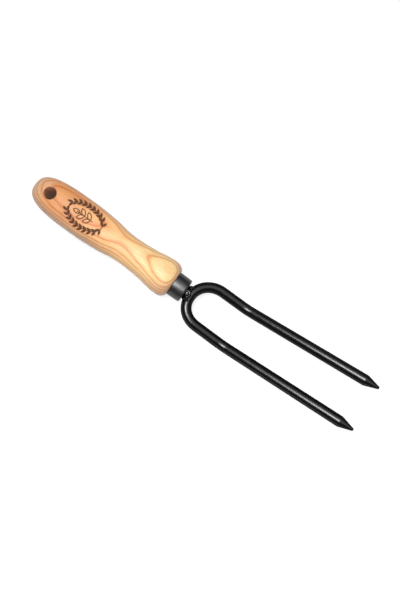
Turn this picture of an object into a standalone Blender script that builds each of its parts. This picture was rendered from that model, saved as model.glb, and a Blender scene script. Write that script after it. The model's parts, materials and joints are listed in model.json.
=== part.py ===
"""Hand weeder: a cranked two-tine fork of round bar on an ash handle.

The fork is one bar, bent into a U and then cranked upwards. Its back is welded to a round tang, which
passes through the ferrule and ends in a blind bore in the handle.

The tool frame has its origin at the butt, +X along the handle's axis towards the tines and +Z up, on the
side that the tines crank towards. The tool lies as it does on a table: on the handle's pommel and on
the undersides of the two cranks, with the butt and the tips off the table. The world origin is on the
table, under the middle of the whole tool's box.
"""

import math

import bmesh
import bpy
from mathutils import Matrix, Vector

MM = 0.001

# Handle: how far along the axis, and how wide to each side, in millimetres
HANDLE_LENGTH = 122.1 * MM
GRIP_OUTLINE = (
    (42.0, 14.4),  # the bulge, the widest place of the grip
    (62.4, 13.3),
    (74.4, 11.55),
    (84.4, 11.2),  # the waist
    (98.4, 12.2),
    (106.4, 13.45),
    (113.9, 14.2),  # the pommel
)
BUTT_ROUNDNESS = (3.3, 2.9)  # powers of the superellipse that rounds the butt in plan
BUTT_FLAT = 2.5 * MM  # half width of the small flat that the lathe leaves at the very end
BUTT_CROWDING = 1.5  # more than 1 draws the stations towards the butt's end
POMMEL_ROUNDING = 10.5 * MM  # how far past its widest the pommel would close
POMMEL_ROUNDNESS = (3.1, 2.0)

# Cross-section: thickness over width, from the butt to the shoulder, and the superellipse's power
BUTT_FLATNESS, SHOULDER_FLATNESS = 0.9, 0.97
GRIP_POWER, SHOULDER_POWER = 2.3, 2.0
HANDLE_ROLL = math.radians(6.0)  # the handle sits a little turned on the tang, its top to the right

# Hanging hole, through the handle near its butt; its place is where it crosses the axis
HOLE_AT = 16.2 * MM
HOLE_LEAN = math.radians(8.0)  # off square, its upper end towards the butt
HOLE_RADIUS = 4.6 * MM
HOLE_CHAMFER = 1.1 * MM

# Ferrule: a drawn cap, open towards the handle, with a hole for the tang in its front wall
FERRULE_RADIUS = 9.4 * MM
FERRULE_TAPER = 0.2 * MM  # how much smaller its radius is at the front
FERRULE_FRONT = HANDLE_LENGTH + 10.7 * MM
FERRULE_WALL = 1.0 * MM
FERRULE_EDGE_RADIUS = 1.2 * MM
GAP = 0.35 * MM  # between neighbouring pieces

# Tang: a round bar, tapered at its inner end and chamfered for the weld at its outer end
TANG_RADIUS = 5.0 * MM
TANG_LENGTH = 80.0 * MM
TANG_TAPER = 22.0 * MM
TANG_END_RADIUS = 3.0 * MM
TANG_WELD_CHAMFER = 1.0 * MM

# Fork: one round bar; the U lies in the fork's own plane, which dips from the handle's axis
BAR_RADIUS = 4.0 * MM
U_HALF_WIDTH = 16.1 * MM  # to the bar's centre line
U_DEPTH = 17.6 * MM  # from the back of the U to where its legs run straight
U_LEAN = 0.075  # how far the bend leans forward, for each unit to the left
U_ROUNDNESS = 2.1  # the power of its superellipse; 2 is an ellipse
FORK_DIP = math.radians(4.0)
TINE_SPLAY = math.radians(0.37)  # outwards, on each side
CRANK_AT = 22.4 * MM  # from the end of the U to the corner of the crank
CRANK_ANGLE = math.radians(25.0)
CRANK_RADIUS = 24.0 * MM
TINE_LENGTH = 108.2 * MM  # from the corner of the crank to the tip
POINT_HALF_ANGLE = math.radians(17.0)
POINT_NOSE_RADIUS = 1.15 * MM
BACK_OF_U = FERRULE_FRONT + 0.9 * MM  # where the bar's back crosses the handle's axis

# Weld: a lump between the ferrule's front face and the back of the U
WELD_REACH = 5.2 * MM
WELD_HALF_WIDTH = 6.3 * MM
WELD_HALF_HEIGHT = 6.7 * MM
WELD_SPAN = 1.2  # radians each way from the back of the U, more than the weld reaches

# Facets
HANDLE_SIDES = 32
ROUND_SIDES = 32
BAR_SIDES = 16
BUTT_STEPS = 9
GRIP_STEPS = 3
SHOULDER_STEPS = 6
FERRULE_EDGE_STEPS = 4
U_STEPS = 24
CRANK_STEPS = 6
NOSE_STEPS = 4
WELD_STEPS = 7
WELD_SPAN_STEPS = 16
SHARP_ANGLE = math.radians(40.0)  # faces that meet at more than this keep a sharp edge

# Finding how the tool lies on a table
STEEPEST_PITCH = math.radians(20.0)
HALVINGS = 40


def clear_scene():
    for item in list(bpy.data.objects):
        bpy.data.objects.remove(item, do_unlink=True)


def make_material(name, colour, roughness, metallic):
    material = bpy.data.materials.new(name)
    material.use_nodes = True
    shader = material.node_tree.nodes["Principled BSDF"]
    shader.inputs["Base Color"].default_value = (*colour, 1.0)
    shader.inputs["Roughness"].default_value = roughness
    shader.inputs["Metallic"].default_value = metallic
    return material


def make_empty(name, parent=None, location=(0.0, 0.0, 0.0), roll=0.0, pitch=0.0):
    empty = bpy.data.objects.new(name, None)
    empty.location = location
    empty.rotation_euler = (roll, pitch, 0.0)
    empty.parent = parent
    bpy.context.scene.collection.objects.link(empty)
    return empty


def make_object(name, shape, material, parent):
    """A named object from a bmesh, with its faces facing out and smooth where they meet gently."""
    bmesh.ops.recalc_face_normals(shape, faces=shape.faces)
    mesh = bpy.data.meshes.new(name)
    shape.to_mesh(mesh)
    shape.free()
    mesh.shade_smooth()
    mesh.set_sharp_from_angle(angle=SHARP_ANGLE)
    if material:
        mesh.materials.append(material)
    item = bpy.data.objects.new(name, mesh)
    item.parent = parent
    bpy.context.scene.collection.objects.link(item)
    return item


def make_cutter(name, shape, parent):
    cutter = make_object(name, shape, None, parent)
    cutter.hide_render = True
    cutter.display_type = "WIRE"
    return cutter


def cut(item, cutter):
    modifier = item.modifiers.new(cutter.name, "BOOLEAN")
    modifier.operation = "DIFFERENCE"
    modifier.object = cutter


def loft(rings, closed=False):
    """A skin over rings of points. Its two ends are capped, or joined to each other if closed."""
    shape = bmesh.new()
    loops = [[shape.verts.new(point) for point in ring] for ring in rings]
    pairs = list(zip(loops, loops[1:]))
    if closed:
        pairs.append((loops[-1], loops[0]))
    for first, second in pairs:
        for k in range(len(first)):
            after = (k + 1) % len(first)
            shape.faces.new((first[k], first[after], second[after], second[k]))
    if not closed:
        shape.faces.new(loops[0])
        shape.faces.new(loops[-1])
    return shape


def oval_ring(x, half_width, half_height, power=2.0, sides=ROUND_SIDES):
    """A superellipse across the X axis. Power 2 is an ellipse, and more is squarer."""
    ring = []
    for k in range(sides):
        turn = 2.0 * math.pi * k / sides
        across, up = math.cos(turn), math.sin(turn)
        y = math.copysign(abs(across) ** (2.0 / power), across) * half_width
        z = math.copysign(abs(up) ** (2.0 / power), up) * half_height
        ring.append(Vector((x, y, z)))
    return ring


def turned(profile, closed=False):
    """A solid turned about the X axis from its (x, radius) outline."""
    return loft([oval_ring(x, radius, radius) for x, radius in profile], closed)


def along_x_to_z(shape):
    bmesh.ops.rotate(shape, verts=shape.verts, matrix=Matrix.Rotation(-math.pi / 2.0, 3, "Y"))
    return shape


def blend(start, end, share):
    """From start to end as share goes from 0 to 1, level at both ends."""
    share = min(max(share, 0.0), 1.0)
    return start + (end - start) * (1.0 - math.cos(math.pi * share)) / 2.0


def smooth_through(points, steps):
    """A smooth curve through (x, y) points, level at both ends, without its first point."""
    slopes = [0.0]
    for before, after in zip(points, points[2:]):
        slopes.append((after[1] - before[1]) / (after[0] - before[0]))
    slopes.append(0.0)
    curve = []
    for k in range(len(points) - 1):
        (x0, y0), (x1, y1) = points[k], points[k + 1]
        run = x1 - x0
        for step in range(1, steps + 1):
            t = step / steps
            rising = t * t * (3.0 - 2.0 * t)
            leaving = t * (1.0 - t) ** 2 * slopes[k]
            arriving = t * t * (t - 1.0) * slopes[k + 1]
            curve.append((x0 + run * t, y0 + (y1 - y0) * rising + run * (leaving + arriving)))
    return curve


def handle_outline():
    """The handle's (x, half width) stations, from the butt to the front of the pommel."""
    grip = [(x * MM, half_width * MM) for x, half_width in GRIP_OUTLINE]
    bulge_at, bulge_half_width = grip[0]
    pommel_at, pommel_half_width = grip[-1]
    along, across = BUTT_ROUNDNESS
    first = math.asin((BUTT_FLAT / bulge_half_width) ** (across / 2.0))
    stations = []
    for k in range(BUTT_STEPS):
        turn = first + (math.pi / 2.0 - first) * (k / (BUTT_STEPS - 1)) ** BUTT_CROWDING
        x = bulge_at * (1.0 - (math.cos(turn) / math.cos(first)) ** (2.0 / along))
        stations.append((x, bulge_half_width * math.sin(turn) ** (2.0 / across)))
    stations += smooth_through(grip, GRIP_STEPS)
    along, across = POMMEL_ROUNDNESS
    for k in range(1, SHOULDER_STEPS + 1):
        forward = (HANDLE_LENGTH - pommel_at) * math.sin(math.pi / 2.0 * k / SHOULDER_STEPS)
        narrowing = (1.0 - (forward / POMMEL_ROUNDING) ** along) ** (1.0 / across)
        stations.append((pommel_at + forward, pommel_half_width * narrowing))
    return stations


def flatness(x):
    bulge_at = GRIP_OUTLINE[0][0] * MM
    return blend(BUTT_FLATNESS, SHOULDER_FLATNESS, (x - bulge_at) / (HANDLE_LENGTH - bulge_at))


def section_power(x):
    pommel_at = GRIP_OUTLINE[-1][0] * MM
    return blend(GRIP_POWER, SHOULDER_POWER, (x - pommel_at) / (HANDLE_LENGTH - pommel_at))


def tang_outline(spare):
    """The tang's (x, radius) outline, made larger by spare for the bore that it sits in."""
    outer_end = BACK_OF_U - GAP
    inner_end = outer_end - TANG_LENGTH
    return [
        (inner_end - spare, TANG_END_RADIUS + spare),
        (inner_end + TANG_TAPER, TANG_RADIUS + spare),
        (outer_end - TANG_WELD_CHAMFER, TANG_RADIUS + spare),
        (outer_end, TANG_RADIUS - TANG_WELD_CHAMFER + spare),
    ]


def make_handle(grip, wood):
    rings = []
    for x, half_width in handle_outline():
        half_height = half_width * flatness(x)
        rings.append(oval_ring(x, half_width, half_height, section_power(x), HANDLE_SIDES))
    spigot_radius = FERRULE_RADIUS - FERRULE_TAPER - FERRULE_WALL - GAP
    spigot_end = FERRULE_FRONT - FERRULE_WALL - GAP
    chamfer = FERRULE_WALL / 2.0
    rings.append(oval_ring(HANDLE_LENGTH, spigot_radius, spigot_radius))
    rings.append(oval_ring(spigot_end - chamfer, spigot_radius, spigot_radius))
    rings.append(oval_ring(spigot_end, spigot_radius - chamfer, spigot_radius - chamfer))
    handle = make_object("handle", loft(rings), wood, grip)

    cut(handle, make_cutter("tang_bore", turned(tang_outline(GAP)), grip))
    cut(handle, make_hanging_hole_cutter(grip))
    return handle


def make_hanging_hole_cutter(grip):
    half_width = next(width for x, width in handle_outline() if x > HOLE_AT)
    surface = half_width * flatness(HOLE_AT)
    inner = surface - HOLE_CHAMFER
    outer = surface + HOLE_CHAMFER
    wide = HOLE_RADIUS + 2.0 * HOLE_CHAMFER
    profile = [(-outer, wide), (-inner, HOLE_RADIUS), (inner, HOLE_RADIUS), (outer, wide)]
    cutter = make_cutter("hanging_hole", along_x_to_z(turned(profile)), grip)
    cutter.location = (HOLE_AT, 0.0, 0.0)
    cutter.rotation_euler = (0.0, -HOLE_LEAN, 0.0)
    return cutter


def make_ferrule(tool, steel):
    back = HANDLE_LENGTH + GAP
    inner_radius = FERRULE_RADIUS - FERRULE_TAPER - FERRULE_WALL
    edge_x = FERRULE_FRONT - FERRULE_EDGE_RADIUS
    edge_radius = FERRULE_RADIUS - FERRULE_TAPER - FERRULE_EDGE_RADIUS
    profile = [(back, inner_radius), (back, FERRULE_RADIUS)]
    for k in range(FERRULE_EDGE_STEPS + 1):
        turn = math.pi / 2.0 * k / FERRULE_EDGE_STEPS
        x = edge_x + FERRULE_EDGE_RADIUS * math.sin(turn)
        profile.append((x, edge_radius + FERRULE_EDGE_RADIUS * math.cos(turn)))
    hole_radius = TANG_RADIUS + GAP
    profile.append((FERRULE_FRONT, hole_radius))
    profile.append((FERRULE_FRONT - FERRULE_WALL, hole_radius))
    profile.append((FERRULE_FRONT - FERRULE_WALL, inner_radius))
    return make_object("ferrule", turned(profile, closed=True), steel, tool)


def make_tang(tool, steel):
    return make_object("tang", turned(tang_outline(0.0)), steel, tool)


def tine_point_length():
    nose = POINT_NOSE_RADIUS * (1.0 - math.sin(POINT_HALF_ANGLE))
    flank = BAR_RADIUS - POINT_NOSE_RADIUS * math.cos(POINT_HALF_ANGLE)
    return nose + flank / math.tan(POINT_HALF_ANGLE)


def leg_stations():
    """One leg of the bar from the U's end to the tip, as (forward, up, radius)."""
    tangent = CRANK_RADIUS * math.tan(CRANK_ANGLE / 2.0)
    bend_start = CRANK_AT - tangent
    stations = []
    for k in range(CRANK_STEPS + 1):
        turn = CRANK_ANGLE * k / CRANK_STEPS
        forward = bend_start + CRANK_RADIUS * math.sin(turn)
        stations.append((forward, CRANK_RADIUS * (1.0 - math.cos(turn)), BAR_RADIUS))
    run, rise = math.cos(CRANK_ANGLE), math.sin(CRANK_ANGLE)

    def on_tine(distance, radius):
        """A station on the tine's own line, at this distance from the corner of the crank."""
        stations.append((CRANK_AT + distance * run, distance * rise, radius))

    on_tine(TINE_LENGTH / 2.0, BAR_RADIUS)
    on_tine(TINE_LENGTH - tine_point_length(), BAR_RADIUS)
    nose_centre = TINE_LENGTH - POINT_NOSE_RADIUS
    for k in range(NOSE_STEPS):
        turn = POINT_HALF_ANGLE + (math.pi / 2.0 - POINT_HALF_ANGLE) * k / NOSE_STEPS
        radius = POINT_NOSE_RADIUS * math.cos(turn)
        on_tine(nose_centre + POINT_NOSE_RADIUS * math.sin(turn), radius)
    return stations


def fork_path():
    """The whole bar's centre line as (point, radius), from one tip round the U to the other."""
    legs = []
    for side in (1.0, -1.0):
        ahead = Vector((math.cos(TINE_SPLAY), side * math.sin(TINE_SPLAY), 0.0))
        leg = []
        for forward, up, radius in leg_stations():
            start = Vector((0.0, side * U_HALF_WIDTH, up))
            leg.append((start + ahead * forward, radius))
        legs.append(leg)
    u_bend = []
    for k in range(U_STEPS + 1):
        turn = math.pi / 2.0 - math.pi * k / U_STEPS
        u_bend.append((u_point(turn), BAR_RADIUS))
    return legs[0][::-1] + u_bend + legs[1]


def u_point(turn):
    """On the U's centre line: 0 is the back of the U, and a quarter turn each way is a leg."""
    power = 2.0 / U_ROUNDNESS
    y = math.copysign(U_HALF_WIDTH * abs(math.sin(turn)) ** power, turn)
    return Vector((U_LEAN * y - U_DEPTH * abs(math.cos(turn)) ** power, y, 0.0))


def make_tine_fork(fork, coating):
    path = fork_path()
    curve = bpy.data.curves.new("tine_fork", "CURVE")
    curve.dimensions = "3D"
    curve.bevel_depth = BAR_RADIUS
    curve.bevel_resolution = BAR_SIDES // 2 - 2
    curve.use_fill_caps = True
    spline = curve.splines.new("POLY")
    spline.points.add(len(path) - 1)
    for point, (place, radius) in zip(spline.points, path):
        point.co = (*place, 1.0)
        point.radius = radius / BAR_RADIUS
    spline.use_smooth = True
    curve.materials.append(coating)
    item = bpy.data.objects.new("tine_fork", curve)
    item.parent = fork
    bpy.context.scene.collection.objects.link(item)
    return item


def make_weld_bead(tool, fork, coating):
    back = FERRULE_FRONT + GAP
    rings = []
    for k in range(WELD_STEPS):
        turn = math.pi / 2.0 * k / WELD_STEPS
        size = math.cos(turn)
        x = back + WELD_REACH * math.sin(turn)
        rings.append(oval_ring(x, WELD_HALF_WIDTH * size, WELD_HALF_HEIGHT * size))
    bead = make_object("weld_bead", loft(rings), coating, tool)

    tang_end = BACK_OF_U - GAP
    room_radius = TANG_RADIUS - TANG_WELD_CHAMFER + GAP
    room = [(back - GAP, room_radius), (tang_end + GAP, room_radius)]
    cut(bead, make_cutter("tang_room", turned(room), tool))
    cut(bead, make_cutter("bar_room", sleeve_round_u(BAR_RADIUS + GAP), fork))
    return bead


def sleeve_round_u(radius):
    """A thicker copy of the part of the U that the weld sits against."""
    rings = []
    step = 2.0 * WELD_SPAN / WELD_SPAN_STEPS
    for k in range(WELD_SPAN_STEPS + 1):
        turn = k * step - WELD_SPAN
        middle = u_point(turn)
        along = (u_point(turn + step / 2.0) - u_point(turn - step / 2.0)).normalized()
        outwards = along.cross(Vector((0.0, 0.0, 1.0)))
        ring = []
        for j in range(BAR_SIDES):
            angle = 2.0 * math.pi * j / BAR_SIDES
            up = Vector((0.0, 0.0, radius * math.sin(angle)))
            ring.append(middle + outwards * radius * math.cos(angle) + up)
        rings.append(ring)
    return loft(rings)


def lowest(points, pitch):
    """How low the lowest of these (x, z) points comes when the tool pitches nose down."""
    return min(z * math.cos(pitch) - x * math.sin(pitch) for x, z in points)


def table_pitch():
    """The pitch at which the pommel and the cranks touch the table together."""
    handle_underside = [(x, -width * flatness(x)) for x, width in handle_outline()]
    crank_underside = []
    for forward, up, radius in leg_stations():
        x, z = forward + BAR_RADIUS + U_DEPTH, up
        x, z = (
            x * math.cos(FORK_DIP) + z * math.sin(FORK_DIP),
            z * math.cos(FORK_DIP) - x * math.sin(FORK_DIP),
        )
        crank_underside.append((BACK_OF_U + x, z))
    level, steep = 0.0, STEEPEST_PITCH
    for _ in range(HALVINGS):
        middle = (level + steep) / 2.0
        if lowest(crank_underside, middle) - BAR_RADIUS > lowest(handle_underside, middle):
            level = middle
        else:
            steep = middle
    return steep


def stand_on_table(tool):
    """Moves the tool so that its box stands on Z = 0 with its middle at the origin."""
    bpy.context.view_layer.update()
    graph = bpy.context.evaluated_depsgraph_get()
    corners = []
    for item in tool.children_recursive:
        if item.type in {"MESH", "CURVE"} and not item.hide_render:
            evaluated = item.evaluated_get(graph)
            mesh = evaluated.to_mesh()
            corners += [evaluated.matrix_world @ vertex.co for vertex in mesh.vertices]
            evaluated.to_mesh_clear()
    low = [min(corner[axis] for corner in corners) for axis in range(3)]
    high = [max(corner[axis] for corner in corners) for axis in range(3)]
    tool.location = (-(low[0] + high[0]) / 2.0, -(low[1] + high[1]) / 2.0, -low[2])


def main():
    clear_scene()
    wood = make_material("ash_wood", (0.85, 0.46, 0.21), 0.55, 0.0)
    blued_steel = make_material("blued_steel", (0.07, 0.068, 0.075), 0.38, 0.9)
    bare_steel = make_material("bare_steel", (0.35, 0.35, 0.36), 0.45, 1.0)
    black_coating = make_material("black_coating", (0.012, 0.012, 0.013), 0.35, 0.0)

    tool = make_empty("tool", pitch=table_pitch())
    grip = make_empty("grip", tool, roll=HANDLE_ROLL)
    back_of_u = make_empty("back_of_u", tool, (BACK_OF_U, 0.0, 0.0), pitch=FORK_DIP)
    fork = make_empty("fork", back_of_u, (BAR_RADIUS + U_DEPTH, 0.0, 0.0))

    make_handle(grip, wood)
    make_ferrule(tool, blued_steel)
    make_tang(tool, bare_steel)
    make_tine_fork(fork, black_coating)
    make_weld_bead(tool, fork, black_coating)
    stand_on_table(tool)


main()
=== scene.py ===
"""Looks of the hand weeder: a turned ash handle with a burnt leaf mark, a dark steel ferrule, and a
black coated fork whose U is welded to the tang.

The tool's own frame has its origin on the butt, +X along the handle's axis towards the tines, and +Z on
the side that the tines crank towards. The ferrule and the weld are built in it. The handle's frame is
that one rolled a little, and the fork's has its origin where the U ends and the legs begin, dipped a
little. Each finished mesh is then moved into the row's frame.
"""

import json
import math

import bmesh
import bpy
import numpy as np
from mathutils import Matrix, Vector

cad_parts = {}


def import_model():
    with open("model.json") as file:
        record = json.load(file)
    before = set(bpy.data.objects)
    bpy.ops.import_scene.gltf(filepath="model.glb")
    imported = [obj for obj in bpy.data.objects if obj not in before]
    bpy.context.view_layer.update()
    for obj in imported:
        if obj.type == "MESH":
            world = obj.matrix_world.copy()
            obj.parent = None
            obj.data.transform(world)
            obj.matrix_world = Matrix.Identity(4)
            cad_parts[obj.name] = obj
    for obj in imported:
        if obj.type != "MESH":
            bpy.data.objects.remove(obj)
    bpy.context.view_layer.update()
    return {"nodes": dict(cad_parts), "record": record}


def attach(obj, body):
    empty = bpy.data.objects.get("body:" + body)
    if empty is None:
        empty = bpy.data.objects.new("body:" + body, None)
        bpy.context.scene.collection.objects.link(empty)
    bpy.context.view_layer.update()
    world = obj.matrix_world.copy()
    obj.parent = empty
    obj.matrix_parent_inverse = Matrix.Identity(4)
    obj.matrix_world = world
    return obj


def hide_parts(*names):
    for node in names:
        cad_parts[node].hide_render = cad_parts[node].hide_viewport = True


MM = 0.001

# Handle: (distance from the butt, half width), in millimetres
HANDLE_LENGTH = 122.1 * MM
GRIP_OUTLINE = (
    (42.0, 14.4),  # the bulge
    (62.4, 13.3),
    (74.4, 11.55),
    (84.4, 11.2),  # the waist
    (98.4, 12.2),
    (106.4, 13.45),
    (113.9, 14.2),  # the pommel
)
BUTT_ROUNDNESS = (3.3, 2.9)
BUTT_FLAT = 2.5 * MM
POMMEL_ROUNDING = 10.5 * MM
POMMEL_ROUNDNESS = (3.1, 2.0)
BUTT_FLATNESS, SHOULDER_FLATNESS = 0.9, 0.97
GRIP_POWER, SHOULDER_POWER = 2.3, 2.0
HANDLE_ROLL = math.radians(6.0)
SPIGOT_RADIUS = 7.85 * MM
SPIGOT_END = 131.4 * MM
TANG_BORE = ((53.0, 3.35), (75.4, 5.35), (132.0, 5.35))  # (distance, radius) in millimetres
TANG_BORE_SIDES = 48

# The handle's mesh, in (start, stop, step) bands: finest at the hanging hole and under the mark
SKIN_ANGLES = (  # degrees, from the left side
    (-125.0, -55.0, 1.4),
    (-55.0, 35.0, 3.2),
    (35.0, 145.0, 0.85),
    (145.0, 235.0, 3.2),
)
BUTT_END, BUTT_STATIONS = 9.0, 16  # millimetres, and how many stations crowd towards the butt there
SKIN_STATIONS = (  # millimetres from the butt
    (9.0, 23.0, 0.25),
    (23.0, 27.0, 0.6),
    (27.0, 62.0, 0.2),
    (62.0, 114.0, 0.9),
)
SHOULDER_STATIONS = (114.4, HANDLE_LENGTH / MM, 0.35)

# Hanging hole
HOLE_AT = 16.2 * MM
HOLE_LEAN = math.radians(8.0)
HOLE_RADIUS = 4.6 * MM
HOLE_ROUNDING = 0.9 * MM
HOLE_CUT = 30.0 * MM  # half length of the cutter
HOLE_MIDDLE = 6.0 * MM  # half length of the part of the hole that is deep inside the wood

# Burnt mark: a wreath round a sprig, on the top of the handle
MARK_AT = 44.4 * MM
MARK_ASIDE = 0.6 * MM
WREATH_LENGTH, WREATH_WIDTH = 28.6 * MM, 16.4 * MM
WREATH_TURNS = (9.0, 152.0)  # degrees, from the foot of the wreath to its open top
WREATH_OPENING = 0.86  # the stems end at this share of the wreath's half length
WREATH_PAIRS = 10
WREATH_LEAN = 0.55  # radians between a leaf and its stem
WREATH_LEAF = (4.2 * MM, 1.7 * MM)
SPRIG_LENGTH = 13.0 * MM
SPRIG_LEAF = (5.6 * MM, 2.7 * MM)
SPRIG_LEAVES = (  # (place along the stem, as a share of it, and lean in radians)
    (0.36, 0.8),
    (0.36, -0.8),
    (-0.02, 0.75),
    (-0.02, -0.75),
    (-0.3, 0.0),
)
STROKE = 0.6 * MM
MARK_DEPTH = 0.22 * MM
MARK_REACH = (20.0 * MM, 13.0 * MM)  # half axes of the patch that may be burnt
SCORCH_EDGE = 0.06 * MM
HALO_STRENGTH, HALO_WIDTH = 0.35, 0.3 * MM

# Ferrule
FERRULE_BACK = 122.3 * MM
FERRULE_FRONT = 132.8 * MM
FERRULE_RADIUS = 9.4 * MM
FERRULE_TAPER = 0.2 * MM
FERRULE_WALL = 1.0 * MM
FERRULE_EDGE_RADIUS = 1.3 * MM
FERRULE_LIP = 0.25 * MM  # rounding of the back edge
FERRULE_HOLE_RADIUS = 5.35 * MM

# Fork
BAR_RADIUS = 4.0 * MM
U_HALF_WIDTH = 16.1 * MM
U_DEPTH = 17.6 * MM
U_LEAN = 0.075
U_ROUNDNESS = 2.1
BACK_OF_U = 133.7 * MM
FORK_DIP = math.radians(4.0)
TINE_SPLAY = math.radians(0.37)
CRANK_AT = 22.4 * MM
CRANK_ANGLE = math.radians(25.0)
CRANK_RADIUS = 24.0 * MM
TINE_LENGTH = 108.2 * MM
POINT_HALF_ANGLE = math.radians(17.0)
POINT_NOSE_RADIUS = 1.15 * MM
POINT_SOFTNESS = 0.6 * MM  # the coating softens the corner where the point starts
BAR_SIDES = 48
U_STEPS = 96

# Weld: places are in millimetres ahead of the ferrule, to the left and up
WELD_LUMPS = (  # (place, half size)
    ((1.6, -0.2, 0.0), (3.2, 6.0, 5.2)),
    ((2.0, -0.8, 2.0), (3.0, 3.8, 2.6)),
    ((2.3, 4.0, 1.6), (2.2, 2.0, 2.4)),
    ((2.6, -4.2, 1.6), (2.2, 2.0, 2.4)),
)
WELD_RING_CENTRE, WELD_RING_RADIUS = (1.6, -1.7, 4.7), 2.3
WELD_RING_BALLS, WELD_RING_BALL = 29, (1.05, 1.05, 1.05)
WELD_RING_START, WELD_RING_STEP = -60.0, 8.0  # degrees
WELD_TAIL_START, WELD_TAIL_STEP = (2.9, -3.8, 4.5), (0.3, -0.3, -0.2)
WELD_TAIL_BALLS, WELD_TAIL_BALL = 6, (1.05, 1.05, 1.0)
WELD_VOXEL = 0.18 * MM
WELD_SMOOTHING = 8

# Wood: ash, whose growth rings are layers across the handle
LAYER_TILT = math.radians(11.0)  # from the handle's top towards its left side
RING_AT = 11.8  # millimetres above the handle's axis
RING_SPACING = 2.05  # millimetres
HEIGHT_SCALE = 15.0  # millimetres, what heights are divided by for their ramps
DIP_SCALE = 100.0  # millimetres, what distances from the butt are divided by for the layers' dip

# Camera and lights, in the row's frame
CAMERA_AT = (46.386 * MM, -82.307 * MM, 449.064 * MM)
CAMERA_TURN = (math.radians(11.953), math.radians(-1.619), math.radians(34.716))
CAMERA_LENS = 36.96
LIGHTS = (  # (name, place, diameter, power, whether it shows in reflections)
    ("key", (-0.10, -0.14, 0.97), 0.4, 8.8, True),
    ("halo", (0.0, 0.22, 1.08), 1.4, 4.8, True),
    ("left_fill", (0.1, 0.9, 0.8), 0.8, 2.0, False),
    ("right_fill", (0.1, -0.9, 0.6), 0.8, 3.0, False),
)
WORLD_STRENGTH = 0.1
FLOOR_SIZE = 4.0
FLOOR_GLOW = 0.8
BACKDROP_RADIUS = 0.7 * FLOOR_SIZE
SHARP_ANGLE = math.radians(35.0)  # faces that meet at more than this keep a sharp edge
COLOUR_A, COLOUR_B = 6, 7  # a Mix node's colour sockets


def colour(code):
    """A linear RGBA colour from a six-digit sRGB code."""
    channels = []
    for start in (0, 2, 4):
        value = int(code[start:start + 2], 16) / 255.0
        linear = value / 12.92 if value <= 0.04045 else ((value + 0.055) / 1.055) ** 2.4
        channels.append(linear)
    return (*channels, 1.0)


# ---------------------------------------------------------------- shapes


def spaced(*bands):
    """Values from (start, stop, step) bands that follow on from each other."""
    values = []
    for start, stop, step in bands:
        count = max(1, round((stop - start) / step))
        values += [start + (stop - start) * k / count for k in range(count)]
    values.append(bands[-1][1])
    return values


def blend(start, end, share):
    share = min(max(share, 0.0), 1.0)
    return start + (end - start) * (1.0 - math.cos(math.pi * share)) / 2.0


def smooth_through(points, x):
    """The height at x of a smooth curve through (x, y) points, level at both ends."""
    last = len(points) - 2
    k = next((k for k in range(last) if x < points[k + 1][0]), last)
    (x0, y0), (x1, y1) = points[k], points[k + 1]

    def slope(j):
        if j in (0, last + 1):
            return 0.0
        return (points[j + 1][1] - points[j - 1][1]) / (points[j + 1][0] - points[j - 1][0])

    run = x1 - x0
    t = (x - x0) / run
    rising = t * t * (3.0 - 2.0 * t)
    leaving = t * (1.0 - t) ** 2 * slope(k)
    arriving = t * t * (t - 1.0) * slope(k + 1)
    return y0 + (y1 - y0) * rising + run * (leaving + arriving)


def half_width(x):
    """The handle's half width, at this distance from the butt."""
    grip = [(at * MM, half * MM) for at, half in GRIP_OUTLINE]
    bulge_at, bulge = grip[0]
    pommel_at, pommel = grip[-1]
    if x < bulge_at:
        along, across = BUTT_ROUNDNESS
        first = math.asin((BUTT_FLAT / bulge) ** (across / 2.0))
        cosine = math.cos(first) * (1.0 - x / bulge_at) ** (along / 2.0)
        return bulge * math.sin(math.acos(cosine)) ** (2.0 / across)
    if x < pommel_at:
        return smooth_through(grip, x)
    along, across = POMMEL_ROUNDNESS
    return pommel * (1.0 - ((x - pommel_at) / POMMEL_ROUNDING) ** along) ** (1.0 / across)


def flatness(x):
    bulge_at = GRIP_OUTLINE[0][0] * MM
    return blend(BUTT_FLATNESS, SHOULDER_FLATNESS, (x - bulge_at) / (HANDLE_LENGTH - bulge_at))


def section_power(x):
    pommel_at = GRIP_OUTLINE[-1][0] * MM
    return blend(GRIP_POWER, SHOULDER_POWER, (x - pommel_at) / (HANDLE_LENGTH - pommel_at))


def oval_ring(x, half_wide, half_high, angles, power=2.0):
    """A superellipse across the X axis, with a point at each of these angles."""
    ring = []
    for angle in angles:
        across, up = math.cos(angle), math.sin(angle)
        size = (abs(across) ** power + abs(up) ** power) ** (-1.0 / power)
        ring.append((x, half_wide * across * size, half_high * up * size))
    return ring


def full_turn(sides):
    return [2.0 * math.pi * k / sides for k in range(sides)]


def skin(name, rings, closed=False):
    """A mesh over rings with equal numbers of points, its ends capped unless they join."""
    sides = len(rings[0])
    points = [point for ring in rings for point in ring]
    faces = []
    last = len(rings) if closed else len(rings) - 1
    for row in range(last):
        here, there = row * sides, (row + 1) % len(rings) * sides
        for k in range(sides):
            after = (k + 1) % sides
            faces.append((here + k, here + after, there + after, there + k))
    if not closed:
        faces.append(tuple(range(sides)))
        faces.append(tuple(range((len(rings) - 1) * sides, len(rings) * sides)))
    mesh = bpy.data.meshes.new(name)
    mesh.from_pydata(points, [], faces)
    face_out(mesh)
    return mesh


def face_out(mesh):
    shape = bmesh.new()
    shape.from_mesh(mesh)
    bmesh.ops.recalc_face_normals(shape, faces=shape.faces)
    shape.to_mesh(mesh)
    shape.free()


def turned(name, profile, sides=96, closed=False):
    """A shape turned about the X axis from its (x, radius) outline."""
    rings = [oval_ring(x, radius, radius, full_turn(sides)) for x, radius in profile]
    return skin(name, rings, closed)


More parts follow.
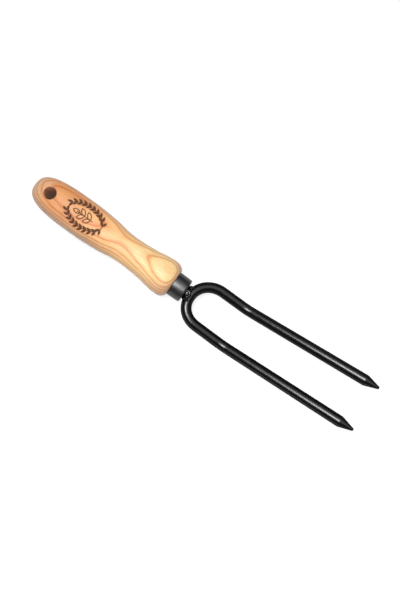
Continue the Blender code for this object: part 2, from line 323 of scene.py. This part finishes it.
def remember_place(mesh):
    """Keeps every point's place in its own frame, in millimetres, for the material's grain."""
    places = mesh.attributes.new("place", "FLOAT_VECTOR", "POINT")
    places.data.foreach_set("vector", (read_points(mesh) / MM).ravel())


def put(name, mesh, matrix, *materials, slot, stands_for):
    """A piece of the tool, moved by matrix into the row's frame, that rides on the only body."""
    remember_place(mesh)
    mesh.transform(matrix)
    mesh.shade_smooth()
    mesh.set_sharp_from_angle(angle=SHARP_ANGLE)
    for material in materials:
        mesh.materials.append(material)
    piece = bpy.data.objects.new(name, mesh)
    bpy.context.scene.collection.objects.link(piece)
    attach(piece, "root")
    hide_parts(*stands_for)


def evaluated(item):
    """The mesh of an object with its modifiers applied."""
    bpy.context.view_layer.update()
    graph = bpy.context.evaluated_depsgraph_get()
    return bpy.data.meshes.new_from_object(item.evaluated_get(graph))


def cut_away(mesh, cutters):
    """The mesh less these (mesh, matrix) cutters."""
    body = bpy.data.objects.new("uncut", mesh)
    bpy.context.scene.collection.objects.link(body)
    helpers = [body]
    for cutter_mesh, matrix in cutters:
        cutter = bpy.data.objects.new("cutter", cutter_mesh)
        bpy.context.scene.collection.objects.link(cutter)
        cutter.matrix_world = matrix
        helpers.append(cutter)
        modifier = body.modifiers.new("cut", "BOOLEAN")
        modifier.object = cutter
    result = evaluated(body)
    for helper in helpers:
        bpy.data.objects.remove(helper)
    return result


def tool_frame(record):
    """From the tool's own frame to the row's: the butt's flat end gives both its origin and its axis."""
    mount = next(mount for mount in record["mounts"] if mount["name"] == "butt_end")
    along = -Vector(mount["axis"]).normalized()
    left = Vector((0.0, 1.0, 0.0))
    turn = Matrix((along, left, along.cross(left))).transposed()
    return Matrix.Translation(mount["pos_m"]) @ turn.to_4x4()


# ---------------------------------------------------------------- handle


def handle_skin():
    angles = [math.radians(angle) for angle in spaced(*SKIN_ANGLES)[:-1]]
    places = [BUTT_END * (k / BUTT_STATIONS) ** 2 for k in range(BUTT_STATIONS)]
    places += spaced(*SKIN_STATIONS)
    places += spaced(SHOULDER_STATIONS)
    rings = []
    for place in places:
        x = place * MM
        half = half_width(x)
        rings.append(oval_ring(x, half, half * flatness(x), angles, section_power(x)))
    for x in (HANDLE_LENGTH, SPIGOT_END):
        rings.append(oval_ring(x, SPIGOT_RADIUS, SPIGOT_RADIUS, angles))
    return skin("handle_skin", rings)


def hole_frame():
    """From the hanging hole's frame, with +Z up its axis, to the handle's."""
    return Matrix.Translation((HOLE_AT, 0.0, 0.0)) @ Matrix.Rotation(-HOLE_LEAN, 4, "Y")


def read_points(mesh):
    points = np.empty(len(mesh.vertices) * 3)
    mesh.vertices.foreach_get("co", points)
    return points.reshape(-1, 3)


def moved_by(points, matrix):
    turn = np.array(matrix.to_3x3())
    return points @ turn.T + np.array(matrix.translation)


def round_the_hole(points):
    """The skin near the hanging hole's rims sinks along a quarter circle into the hole."""
    local = moved_by(points, hole_frame().inverted())
    distance = np.hypot(local[:, 0], local[:, 1]) - HOLE_RADIUS
    on_skin = np.abs(local[:, 2]) > HOLE_MIDDLE
    near = on_skin & (distance < HOLE_ROUNDING)
    share = np.clip(1.0 - distance[near] / HOLE_ROUNDING, 0.0, 1.0)
    drop = HOLE_ROUNDING * (1.0 - np.sqrt(1.0 - share ** 2))
    local[near, 2] -= np.sign(local[near, 2]) * drop
    return moved_by(local, hole_frame())


def leaf_distance(place, base, angle, size):
    """How far outside a leaf each place is; negative is inside. The leaf grows from its base."""
    length, width = size
    radius = (length ** 2 / 4.0 + width ** 2 / 4.0) / width
    ahead = np.array((math.cos(angle), math.sin(angle)))
    aside = np.array((-ahead[1], ahead[0]))
    offset = place - (np.array(base) + ahead * length / 2.0)
    along, across = offset @ ahead, np.abs(offset @ aside)
    return np.hypot(along, across + radius - width / 2.0) - radius


def line_distance(place, start, end):
    """How far each place is from a straight line between two points."""
    start, run = np.array(start), np.array(end) - np.array(start)
    share = np.clip((place - start) @ run / (run @ run), 0.0, 1.0)
    return np.linalg.norm(place - start - share[:, None] * run, axis=1)


def wreath_stations():
    """(x, y, heading) at even spacing along one side of the wreath, from its foot to its open top."""
    half_long, half_wide = WREATH_LENGTH / 2.0, WREATH_WIDTH / 2.0
    turns = np.radians(np.linspace(*WREATH_TURNS, 400))
    x, y = half_long * np.cos(turns), half_wide * np.sin(turns)
    run = np.concatenate(((0.0,), np.cumsum(np.hypot(np.diff(x), np.diff(y)))))
    for k in range(WREATH_PAIRS):
        turn = np.interp(run[-1] * k / (WREATH_PAIRS - 1), run, turns)
        heading = math.atan2(half_wide * math.cos(turn), -half_long * math.sin(turn))
        yield half_long * math.cos(turn), half_wide * math.sin(turn), heading


def mark_distance(place):
    """How far each place on the top of the handle is from the nearest burnt line; negative is burnt."""
    half_long, half_wide = WREATH_LENGTH / 2.0, WREATH_WIDTH / 2.0
    level = (place[:, 0] / half_long) ** 2 + (place[:, 1] / half_wide) ** 2 - 1.0
    slope = 2.0 * np.hypot(place[:, 0] / half_long ** 2, place[:, 1] / half_wide ** 2)
    stems = np.abs(level) / np.maximum(slope, 1.0) - STROKE / 2.0
    nearest = np.where(place[:, 0] < -WREATH_OPENING * half_long, STROKE, stems)
    for x, y, heading in wreath_stations():
        for side in (1.0, -1.0):
            for lean in (-WREATH_LEAN, WREATH_LEAN):
                leaf = leaf_distance(place, (x, side * y), side * (heading + lean), WREATH_LEAF)
                nearest = np.minimum(nearest, leaf)
    half_stem = SPRIG_LENGTH / 2.0
    stem = line_distance(place, (half_stem, 0.0), (-half_stem, 0.0)) - STROKE / 2.0
    nearest = np.minimum(nearest, stem)
    for start, lean in SPRIG_LEAVES:
        base = (SPRIG_LENGTH * start, 0.0)
        leaf = leaf_distance(place, base, math.pi - lean, SPRIG_LEAF)
        outline = np.abs(leaf) - STROKE / 2.0
        nearest = np.minimum(nearest, outline)
    return nearest


def burn_mark(points, normals):
    """Sinks the mark into the points, and gives how scorched each one is, from 0 to 1."""
    scorch = np.zeros(len(points))
    place = points[:, :2] - np.array((MARK_AT, MARK_ASIDE))
    reach = np.hypot(place[:, 0] / MARK_REACH[0], place[:, 1] / MARK_REACH[1])
    near = np.flatnonzero((points[:, 2] > 0.0) & (reach < 1.0))
    distance = mark_distance(place[near])
    burnt = 1.0 / (1.0 + np.exp(distance / SCORCH_EDGE))
    halo = HALO_STRENGTH * np.exp(-np.maximum(distance, 0.0) / HALO_WIDTH)
    scorch[near] = np.maximum(burnt, halo)
    points[near] -= normals[near] * (burnt * MARK_DEPTH)[:, None]
    return scorch


def make_handle(grip, wood, bored_wood):
    hole = turned("hole", [(-HOLE_CUT, HOLE_RADIUS), (HOLE_CUT, HOLE_RADIUS)])
    upright = hole_frame() @ Matrix.Rotation(-math.pi / 2.0, 4, "Y")
    bore = turned("bore", [(x * MM, radius * MM) for x, radius in TANG_BORE], TANG_BORE_SIDES)
    mesh = cut_away(handle_skin(), [(hole, upright), (bore, Matrix.Identity(4))])

    points = round_the_hole(read_points(mesh))
    normals = np.array([vertex.normal for vertex in mesh.vertices])
    scorch = burn_mark(points, normals)
    mesh.vertices.foreach_set("co", points.ravel())
    mesh.attributes.new("scorch", "FLOAT", "POINT").data.foreach_set("value", scorch)

    to_hole = hole_frame().inverted()
    for face in mesh.polygons:
        middle = to_hole @ face.center
        axis_share = abs((to_hole.to_3x3() @ face.normal).z)
        bored = math.hypot(middle.x, middle.y) < HOLE_RADIUS and axis_share < 0.3
        face.material_index = 1 if bored else 0
    put("ash_handle", mesh, grip, wood, bored_wood, slot="ash_wood", stands_for=("handle",))


# ---------------------------------------------------------------- steel


def make_ferrule(tool, steel):
    inner = FERRULE_RADIUS - FERRULE_TAPER - FERRULE_WALL
    edge_x = FERRULE_FRONT - FERRULE_EDGE_RADIUS
    edge_radius = FERRULE_RADIUS - FERRULE_TAPER - FERRULE_EDGE_RADIUS
    lip_x, lip_radius = FERRULE_BACK + FERRULE_LIP, FERRULE_RADIUS - FERRULE_LIP
    profile = [(FERRULE_BACK, inner), (FERRULE_BACK, lip_radius)]
    for k in range(5):
        turn = math.pi / 2.0 * k / 4.0
        x = lip_x - FERRULE_LIP * math.cos(turn)
        profile.append((x, lip_radius + FERRULE_LIP * math.sin(turn)))
    for k in range(13):
        turn = math.pi / 2.0 * k / 12.0
        x = edge_x + FERRULE_EDGE_RADIUS * math.sin(turn)
        profile.append((x, edge_radius + FERRULE_EDGE_RADIUS * math.cos(turn)))
    profile.append((FERRULE_FRONT, FERRULE_HOLE_RADIUS))
    profile.append((FERRULE_FRONT - FERRULE_WALL, FERRULE_HOLE_RADIUS))
    profile.append((FERRULE_FRONT - FERRULE_WALL, inner))
    mesh = turned("ferrule_sleeve", profile, closed=True)
    put("ferrule_sleeve", mesh, tool, steel, slot="blued_steel", stands_for=("ferrule",))


def u_point(turn):
    """On the U's centre line: 0 is the back of the U, and a quarter turn each way is a leg."""
    power = 2.0 / U_ROUNDNESS
    y = math.copysign(U_HALF_WIDTH * abs(math.sin(turn)) ** power, turn)
    return Vector((U_LEAN * y - U_DEPTH * abs(math.cos(turn)) ** power, y, 0.0))


def leg_stations():
    """One leg of the bar from the U's end to the tip, as (forward, up, radius)."""
    tangent = CRANK_RADIUS * math.tan(CRANK_ANGLE / 2.0)
    level = spaced((1.0 * MM, CRANK_AT - tangent, 2.0 * MM))[:-1]
    stations = [(forward, 0.0, BAR_RADIUS) for forward in level]
    for k in range(25):
        turn = CRANK_ANGLE * k / 24.0
        forward = CRANK_AT - tangent + CRANK_RADIUS * math.sin(turn)
        stations.append((forward, CRANK_RADIUS * (1.0 - math.cos(turn)), BAR_RADIUS))

    nose = POINT_NOSE_RADIUS
    flank = (BAR_RADIUS - nose * math.cos(POINT_HALF_ANGLE)) / math.tan(POINT_HALF_ANGLE)
    cone_start = TINE_LENGTH - nose * (1.0 - math.sin(POINT_HALF_ANGLE)) - flank
    nose_start = cone_start + flank
    straight = spaced((tangent + 1.0 * MM, cone_start - POINT_SOFTNESS, 3.0 * MM))
    tine = [(distance, BAR_RADIUS) for distance in straight]
    for k in range(1, 7):
        past = POINT_SOFTNESS * (2.0 * k / 6.0 - 1.0)
        drop = (past + POINT_SOFTNESS) ** 2 / (4.0 * POINT_SOFTNESS) * math.tan(POINT_HALF_ANGLE)
        tine.append((cone_start + past, BAR_RADIUS - drop))
    for distance in spaced((cone_start + 1.2 * MM, nose_start, 0.8 * MM)):
        tine.append((distance, BAR_RADIUS - (distance - cone_start) * math.tan(POINT_HALF_ANGLE)))
    nose_centre = TINE_LENGTH - nose
    for k in range(1, 12):
        turn = POINT_HALF_ANGLE + (math.pi / 2.0 - POINT_HALF_ANGLE) * k / 12.0
        tine.append((nose_centre + nose * math.sin(turn), nose * math.cos(turn)))
    run, rise = math.cos(CRANK_ANGLE), math.sin(CRANK_ANGLE)
    for distance, radius in tine:
        stations.append((CRANK_AT + distance * run, distance * rise, radius))
    return stations


def bar_path():
    """The whole bar's centre line as (point, radius), from one tip round the U to the other."""
    legs = []
    for side in (1.0, -1.0):
        ahead = Vector((math.cos(TINE_SPLAY), side * math.sin(TINE_SPLAY), 0.0))
        leg = []
        for forward, up, radius in leg_stations():
            start = Vector((side * U_LEAN * U_HALF_WIDTH, side * U_HALF_WIDTH, up))
            leg.append((start + ahead * (forward - side * U_LEAN * U_HALF_WIDTH), radius))
        legs.append(leg)
    turns = [math.pi * (0.5 - k / U_STEPS) for k in range(U_STEPS + 1)]
    bend = [(u_point(turn), BAR_RADIUS) for turn in turns]
    return legs[0][::-1] + bend + legs[1]


def tube(name, path, sides):
    """A round skin along a path of (point, radius)."""
    rings = []
    points = [point for point, _ in path]
    side_way = None
    for k, (point, radius) in enumerate(path):
        before, after = points[max(k - 1, 0)], points[min(k + 1, len(points) - 1)]
        ahead = (after - before).normalized()
        if side_way is None:
            side_way = ahead.orthogonal()
        side_way = (side_way - ahead * side_way.dot(ahead)).normalized()
        other_way = ahead.cross(side_way)
        ring = []
        for angle in full_turn(sides):
            ring.append(point + (side_way * math.cos(angle) + other_way * math.sin(angle)) * radius)
        rings.append(ring)
    return skin(name, rings)


def make_fork(fork, coating):
    mesh = tube("coated_fork", bar_path(), BAR_SIDES)
    put("coated_fork", mesh, fork, coating, slot="black_coating", stands_for=("tine_fork",))


def weld_lumps():
    """(place, half size) of the weld's lumps, and of the ring and tail where the weld was ended."""
    lumps = list(WELD_LUMPS)
    for k in range(WELD_RING_BALLS):
        turn = math.radians(WELD_RING_START + WELD_RING_STEP * k)
        offset = Vector((math.cos(turn), math.sin(turn), 0.0)) * WELD_RING_RADIUS
        lumps.append((Vector(WELD_RING_CENTRE) + offset, WELD_RING_BALL))
    for k in range(WELD_TAIL_BALLS):
        place = Vector(WELD_TAIL_START) + Vector(WELD_TAIL_STEP) * k
        lumps.append((place, WELD_TAIL_BALL))
    return lumps


def make_weld(tool, coating):
    """Lumps of weld metal melted into one."""
    shape = bmesh.new()
    front = Vector((FERRULE_FRONT, 0.0, 0.0))
    for place, size in weld_lumps():
        offset = Matrix.Translation(front + Vector(place) * MM)
        matrix = offset @ Matrix.Diagonal((*[side * MM for side in size], 1.0))
        bmesh.ops.create_icosphere(shape, subdivisions=3, radius=1.0, matrix=matrix)
    mesh = bpy.data.meshes.new("weld_lump")
    shape.to_mesh(mesh)
    shape.free()
    lump = bpy.data.objects.new("lump", mesh)
    bpy.context.scene.collection.objects.link(lump)
    remesh = lump.modifiers.new("melt", "REMESH")
    remesh.mode = "VOXEL"
    remesh.voxel_size = WELD_VOXEL
    smooth = lump.modifiers.new("settle", "SMOOTH")
    smooth.factor = 0.5
    smooth.iterations = WELD_SMOOTHING
    melted = evaluated(lump)
    bpy.data.objects.remove(lump)
    put("weld_lump", melted, tool, coating, slot="black_coating", stands_for=("weld_bead",))


# ---------------------------------------------------------------- materials


def new_material(name):
    material = bpy.data.materials.new(name)
    material.use_nodes = True
    return material, material.node_tree, material.node_tree.nodes["Principled BSDF"]


def add(tree, kind, inputs=(), **settings):
    """A node with its settings, and its inputs given as {socket: value or another node's output}."""
    node = tree.nodes.new(kind)
    for name, value in settings.items():
        setattr(node, name, value)
    for socket, value in dict(inputs).items():
        if isinstance(value, bpy.types.NodeSocket):
            tree.links.new(value, node.inputs[socket])
        else:
            node.inputs[socket].default_value = value
    return node


def compute(tree, operation, first, second=0.0):
    return add(tree, "ShaderNodeMath", {0: first, 1: second}, operation=operation).outputs[0]


def opposite(tree, share):
    return compute(tree, "SUBTRACT", 1.0, share)


def mix(tree, share, first, second, blend_type="MIX"):
    """A colour between two others, or the first changed by the second as blend_type says."""
    inputs = {"Factor": share, COLOUR_A: first, COLOUR_B: second}
    node = add(tree, "ShaderNodeMix", inputs, data_type="RGBA", blend_type=blend_type)
    return node.outputs[2]


def ramp(tree, value, *stops):
    """A number for each value, through (position, number) stops."""
    node = add(tree, "ShaderNodeValToRGB", {"Fac": value})
    points = node.color_ramp.elements
    while len(points) < len(stops):
        points.new(0.5)
    for point, (position, number) in zip(points, stops):
        point.position = position
        point.color = (number, number, number, 1.0)
    return node.outputs["Color"]


def stretched(tree, place, lengths):
    """The place, in millimetres, divided by a length along each axis."""
    scale = tuple(1.0 / length for length in lengths)
    return add(tree, "ShaderNodeVectorMath", {0: place, 1: scale}, operation="MULTIPLY").outputs[0]


def noise(tree, place, lengths, detail=3.0, roughness=0.5):
    """Soft noise between 0 and 1, whose features have about these lengths in millimetres."""
    place = stretched(tree, place, lengths)
    inputs = {"Vector": place, "Scale": 1.0, "Detail": detail, "Roughness": roughness}
    return add(tree, "ShaderNodeTexNoise", inputs).outputs["Fac"]


def own_place(tree):
    """The place in the piece's own frame, in millimetres."""
    return add(tree, "ShaderNodeAttribute", attribute_name="place").outputs["Vector"]


def swing(tree, value, amount):
    """A noise value made into a swing of this amount each way."""
    return compute(tree, "MULTIPLY", compute(tree, "SUBTRACT", value, 0.5), 2.0 * amount)


def bump(tree, height, distance, strength):
    inputs = {"Height": height, "Distance": distance, "Strength": strength}
    return add(tree, "ShaderNodeBump", inputs).outputs["Normal"]


def layer_height(tree, place):
    """How high in the tree's layers this place is, in millimetres, with their waves and uneven years."""
    normal = (0.0, math.sin(LAYER_TILT), math.cos(LAYER_TILT))
    level = add(tree, "ShaderNodeVectorMath", {0: place, 1: normal}, operation="DOT_PRODUCT")
    slow = swing(tree, noise(tree, place, (45.0, 14.0, 14.0), detail=1.0), 0.35)
    quick = swing(tree, noise(tree, place, (9.0, 1.5, 1.5), detail=3.0), 0.14)
    height = compute(tree, "ADD", compute(tree, "ADD", level.outputs["Value"], slow), quick)
    along = add(tree, "ShaderNodeSeparateXYZ", {0: place}).outputs["X"]
    along = compute(tree, "DIVIDE", along, DIP_SCALE)
    dip = ramp(tree, along, (0.4, 0.0), (0.6, 0.6), (0.74, 0.6), (0.92, 0.0))
    height = compute(tree, "SUBTRACT", height, dip)
    years = add(tree, "ShaderNodeCombineXYZ", {"Z": height}).outputs[0]
    uneven = swing(tree, noise(tree, years, (1.0, 1.0, 5.0), detail=1.0), 1.3)
    deep = opposite(tree, ramp(tree, compute(tree, "DIVIDE", height, HEIGHT_SCALE), (0.2, 0.0), (0.6, 1.0)))
    return compute(tree, "ADD", height, compute(tree, "MULTIPLY", uneven, deep))


def ring_share(tree, height):
    """How much of a dark growth ring there is at this height, fainter at the very top."""
    rings = compute(tree, "DIVIDE", compute(tree, "SUBTRACT", height, RING_AT), RING_SPACING)
    phase = compute(tree, "FRACT", rings)
    ring = ramp(tree, phase, (0.0, 1.0), (0.1, 0.6), (0.26, 0.1), (0.6, 0.0), (0.9, 0.3), (1.0, 1.0))
    faint = ramp(tree, compute(tree, "DIVIDE", height, HEIGHT_SCALE), (0.86, 1.0), (0.9, 0.35))
    return compute(tree, "MULTIPLY", ring, faint)


def plain_wood(tree, place, height):
    """The wood's colour without rings or pores: browner at the butt, pale yellow at the pommel, with
    painted shade and reflection on the sides.
    """
    along = add(tree, "ShaderNodeSeparateXYZ", {0: place}).outputs["X"]
    wander = swing(tree, noise(tree, place, (26.0, 9.0, 9.0), detail=2.0), 10.0)
    share = compute(tree, "DIVIDE", compute(tree, "ADD", along, wander), HANDLE_LENGTH / MM)
    high = compute(tree, "DIVIDE", height, HEIGHT_SCALE)
    low_flank = opposite(tree, ramp(tree, high, (0.3, 0.0), (0.6, 1.0)))
    below_top = opposite(tree, ramp(tree, high, (0.66, 0.0), (0.82, 1.0)))
    butt_half = opposite(tree, ramp(tree, share, (0.4, 0.0), (0.65, 1.0)))
    bulge_share = ramp(tree, share, (0.24, 0.0), (0.52, 1.0))
    base = mix(tree, bulge_share, colour("cd935e"), colour("e7b77e"))
    base = mix(tree, ramp(tree, share, (0.5, 0.0), (0.8, 1.0)), base, colour("e6ca94"))
    # Painted shade and reflection: a greyer, darker tone on the lower flanks of the butt half
    painted_shade_and_reflection = compute(tree, "MULTIPLY", compute(tree, "MULTIPLY", low_flank, butt_half), 0.8)
    base = mix(tree, painted_shade_and_reflection, base, colour("b49a80"))
    base = mix(tree, ramp(tree, share, (0.02, 0.0), (0.12, 1.0)), colour("c0a58a"), base)
    front = ramp(tree, share, (0.86, 0.0), (0.97, 0.7))
    base = mix(tree, compute(tree, "MULTIPLY", front, below_top), base, colour("d8a888"))
    # Painted reflection: a little paler and greyer on the sides below the top
    return mix(tree, compute(tree, "MULTIPLY", below_top, 0.1), base, colour("e8cdb0"))


def wood_colour(tree, place):
    """(colour, ring share, fibre noise) of ash at this place in the handle."""
    height = layer_height(tree, place)
    ring = ring_share(tree, height)
    base = plain_wood(tree, place, height)
    base = mix(tree, ring, base, colour("e8b38c"), "MULTIPLY")
    fibres = noise(tree, place, (16.0, 0.35, 0.35), detail=4.0, roughness=0.65)
    pores = ramp(tree, fibres, (0.36, 1.0), (0.46, 0.0))
    most = compute(tree, "ADD", 0.16, compute(tree, "MULTIPLY", ring, 0.4))
    base = mix(tree, compute(tree, "MULTIPLY", pores, most), base, colour("8a5429"))
    streaks = noise(tree, place, (24.0, 0.9, 0.9), detail=3.0, roughness=0.6)
    streak_share = ramp(tree, streaks, (0.3, 0.5), (0.7, 0.0))
    base = mix(tree, streak_share, base, colour("e9c7a4"), "MULTIPLY")
    return base, ring, fibres


def ash_wood():
    material, tree, shader = new_material("ash_grain")
    place = own_place(tree)
    base, ring, fibres = wood_colour(tree, place)
    scorch = add(tree, "ShaderNodeAttribute", attribute_name="scorch").outputs["Fac"]
    char = noise(tree, place, (1.2, 0.8, 0.8), detail=2.0)
    burnt = mix(tree, char, colour("40200f"), colour("64371c"))
    share = ramp(tree, scorch, (0.0, 0.0), (0.35, 0.3), (0.75, 1.0))
    tree.links.new(mix(tree, share, base, burnt), shader.inputs["Base Color"])
    rough = compute(tree, "ADD", 0.46, compute(tree, "MULTIPLY", ring, 0.08))
    rough = compute(tree, "ADD", rough, compute(tree, "MULTIPLY", share, 0.25))
    tree.links.new(rough, shader.inputs["Roughness"])
    shader.inputs["Specular IOR Level"].default_value = 0.4
    shader.inputs["Sheen Weight"].default_value = 0.4
    shader.inputs["Sheen Roughness"].default_value = 0.4
    tree.links.new(bump(tree, fibres, 0.05 * MM, 0.5), shader.inputs["Normal"])
    return material


def bored_ash():
    material, tree, shader = new_material("ash_bored")
    place = own_place(tree)
    base, _, _ = wood_colour(tree, place)
    marks = noise(tree, place, (1.5, 1.5, 0.3), detail=3.0)
    # The hole's wall is darker than the outer wood: partly the drilled end grain, partly painted shade
    dark = mix(tree, marks, colour("966a50"), colour("c0916f"))
    tree.links.new(mix(tree, 0.75, base, dark), shader.inputs["Base Color"])
    shader.inputs["Roughness"].default_value = 0.75
    tree.links.new(bump(tree, marks, 0.1 * MM, 0.8), shader.inputs["Normal"])
    return material


def blued_steel():
    material, tree, shader = new_material("steel_blued")
    place = own_place(tree)
    scratches = noise(tree, place, (0.12, 6.0, 6.0), detail=3.0, roughness=0.7)
    cloud = noise(tree, place, (4.0, 4.0, 4.0), detail=3.0)
    base = mix(tree, cloud, colour("474647"), colour("585758"))
    tree.links.new(base, shader.inputs["Base Color"])
    shader.inputs["Metallic"].default_value = 1.0
    rough = compute(tree, "ADD", 0.36, compute(tree, "MULTIPLY", cloud, 0.14))
    tree.links.new(rough, shader.inputs["Roughness"])
    tree.links.new(bump(tree, scratches, 0.02 * MM, 0.35), shader.inputs["Normal"])
    return material


def bare_steel():
    material, tree, shader = new_material("steel_bare")
    place = own_place(tree)
    scale = noise(tree, place, (3.0, 1.0, 1.0), detail=4.0)
    base = mix(tree, scale, colour("6a6662"), colour("9a9895"))
    tree.links.new(base, shader.inputs["Base Color"])
    shader.inputs["Metallic"].default_value = 1.0
    rough = compute(tree, "ADD", 0.35, compute(tree, "MULTIPLY", scale, 0.2))
    tree.links.new(rough, shader.inputs["Roughness"])
    return material


def black_coating():
    """Black paint: its colour is only what it reflects face on, with dark edges and no diffuse part."""
    material, tree, shader = new_material("coating_black")
    place = own_place(tree)
    peel = noise(tree, place, (3.0, 3.0, 3.0), detail=1.0)
    wear = noise(tree, place, (7.0, 3.0, 3.0), detail=3.0)
    base = mix(tree, wear, colour("373738"), colour("414142"))
    tree.links.new(base, shader.inputs["Base Color"])
    shader.inputs["Metallic"].default_value = 1.0
    shader.inputs["Specular Tint"].default_value = colour("303030")
    rough = compute(tree, "ADD", 0.2, compute(tree, "MULTIPLY", wear, 0.14))
    tree.links.new(rough, shader.inputs["Roughness"])
    tree.links.new(bump(tree, peel, 0.02 * MM, 0.4), shader.inputs["Normal"])
    return material


# ---------------------------------------------------------------- stage


def make_floor():
    material, tree, shader = new_material("pale_floor")
    place = add(tree, "ShaderNodeTexCoord").outputs["Object"]
    texture = noise(tree, place, (0.06, 0.06, 0.06), detail=2.0)
    base = mix(tree, texture, colour("808080"), colour("868686"))
    tree.links.new(base, shader.inputs["Base Color"])
    shader.inputs["Roughness"].default_value = 0.9
    shader.inputs["Emission Color"].default_value = (1.0, 1.0, 1.0, 1.0)
    shader.inputs["Emission Strength"].default_value = FLOOR_GLOW
    bpy.ops.mesh.primitive_plane_add(size=FLOOR_SIZE)
    floor = bpy.context.object
    floor.name = "floor"
    floor.visible_diffuse = False  # else so bright a floor would light up the undersides
    floor.data.materials.append(material)


def make_backdrop():
    """A pale dome that closes off the view beyond the floor, and neither lights nor shades the tool."""
    material, tree, shader = new_material("pale_backdrop")
    place = add(tree, "ShaderNodeTexCoord").outputs["Object"]
    texture = noise(tree, place, (2.0, 2.0, 2.0), detail=1.0)
    glow = mix(tree, texture, colour("ececec"), colour("f4f4f4"))
    tree.links.new(glow, shader.inputs["Emission Color"])
    shader.inputs["Base Color"].default_value = (0.0, 0.0, 0.0, 1.0)
    shader.inputs["Emission Strength"].default_value = 1.0
    bpy.ops.mesh.primitive_uv_sphere_add(radius=BACKDROP_RADIUS, segments=64, ring_count=32)
    dome = bpy.context.object
    dome.name = "backdrop"
    dome.data.shade_smooth()
    dome.visible_diffuse = False
    dome.visible_glossy = False
    dome.visible_shadow = False
    dome.data.materials.append(material)


def make_light(name, place, diameter, power, glossy):
    """A soft round light that faces the tool."""
    light = bpy.data.lights.new(name, "AREA")
    light.shape = "DISK"
    light.size = diameter
    light.energy = power
    item = bpy.data.objects.new(name, light)
    item.location = place
    item.rotation_euler = (-Vector(place)).to_track_quat("-Z", "Y").to_euler()
    item.visible_glossy = glossy
    bpy.context.scene.collection.objects.link(item)


def light_stage():
    world = bpy.data.worlds.new("studio")
    world.use_nodes = True
    background = world.node_tree.nodes["Background"]
    background.inputs["Color"].default_value = (1.0, 1.0, 1.0, 1.0)
    background.inputs["Strength"].default_value = WORLD_STRENGTH
    bpy.context.scene.world = world
    for light in LIGHTS:
        make_light(*light)


def make_camera():
    data = bpy.data.cameras.new("camera")
    data.lens = CAMERA_LENS
    data.sensor_width = 36.0
    data.sensor_fit = "AUTO"
    data.clip_start = 0.01
    data.clip_end = 20.0
    camera = bpy.data.objects.new("camera", data)
    camera.location = CAMERA_AT
    camera.rotation_euler = CAMERA_TURN
    bpy.context.scene.collection.objects.link(camera)
    bpy.context.scene.camera = camera
    bpy.context.scene.view_settings.view_transform = "Standard"


def main():
    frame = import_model()
    tool = tool_frame(frame["record"])
    grip = tool @ Matrix.Rotation(HANDLE_ROLL, 4, "X")
    back_of_u = tool @ Matrix.Translation((BACK_OF_U, 0.0, 0.0)) @ Matrix.Rotation(FORK_DIP, 4, "Y")
    fork = back_of_u @ Matrix.Translation((BAR_RADIUS + U_DEPTH, 0.0, 0.0))

    coating = black_coating()
    make_handle(grip, ash_wood(), bored_ash())
    make_ferrule(tool, blued_steel())
    make_fork(fork, coating)
    make_weld(tool, coating)
    tang = frame["nodes"]["tang"]
    remember_place(tang.data)
    tang.data.materials.clear()
    tang.data.materials.append(bare_steel())

    make_floor()
    make_backdrop()
    light_stage()
    make_camera()


main()
